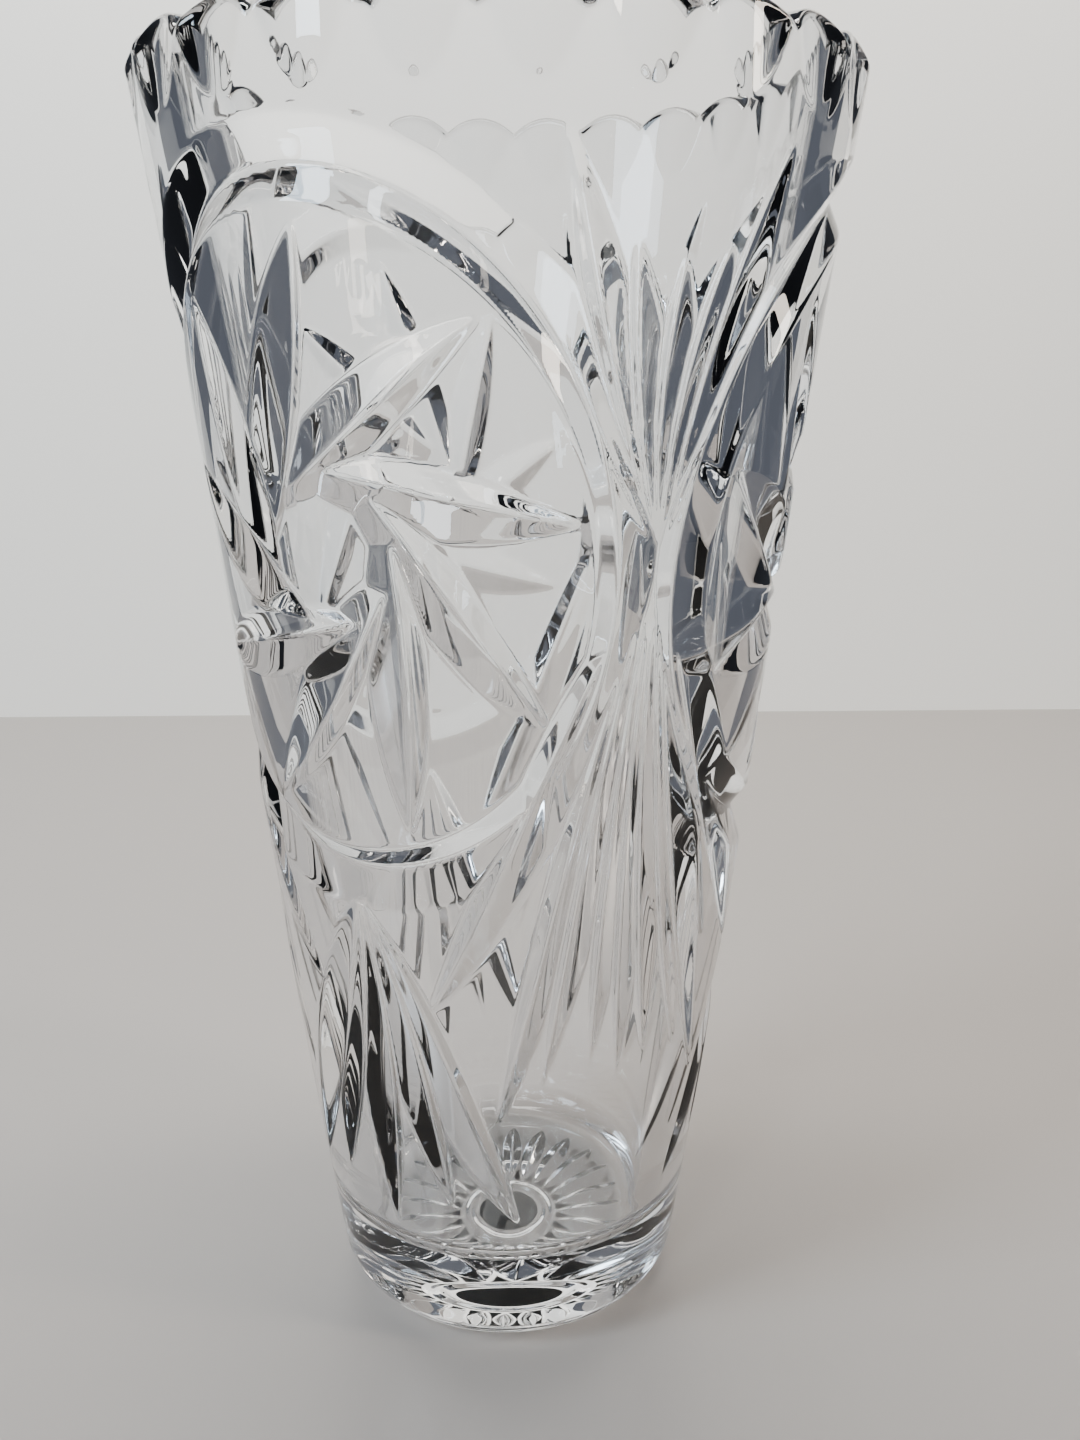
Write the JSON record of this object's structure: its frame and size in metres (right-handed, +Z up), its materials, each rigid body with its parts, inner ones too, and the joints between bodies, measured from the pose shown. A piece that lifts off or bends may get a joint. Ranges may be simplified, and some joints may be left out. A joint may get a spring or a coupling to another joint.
{
  "type": "cut glass vase",
  "caption": "Tall tapered vase of clear cut glass with swirling round medallions, fans of leaf cuts, a scalloped rim and a heavy base.",
  "frame": {"origin": "on the table, at the centre of the vase's foot", "axes": "+Z up along the axis of the vase, -Y out through the middle of one medallion"},
  "size_m": [0.1324, 0.1324, 0.25],
  "materials": {
    "glass": "clear, polished"
  },
  "bodies": {
    "root": {"vase": "glass"}
  },
  "joints": []
}
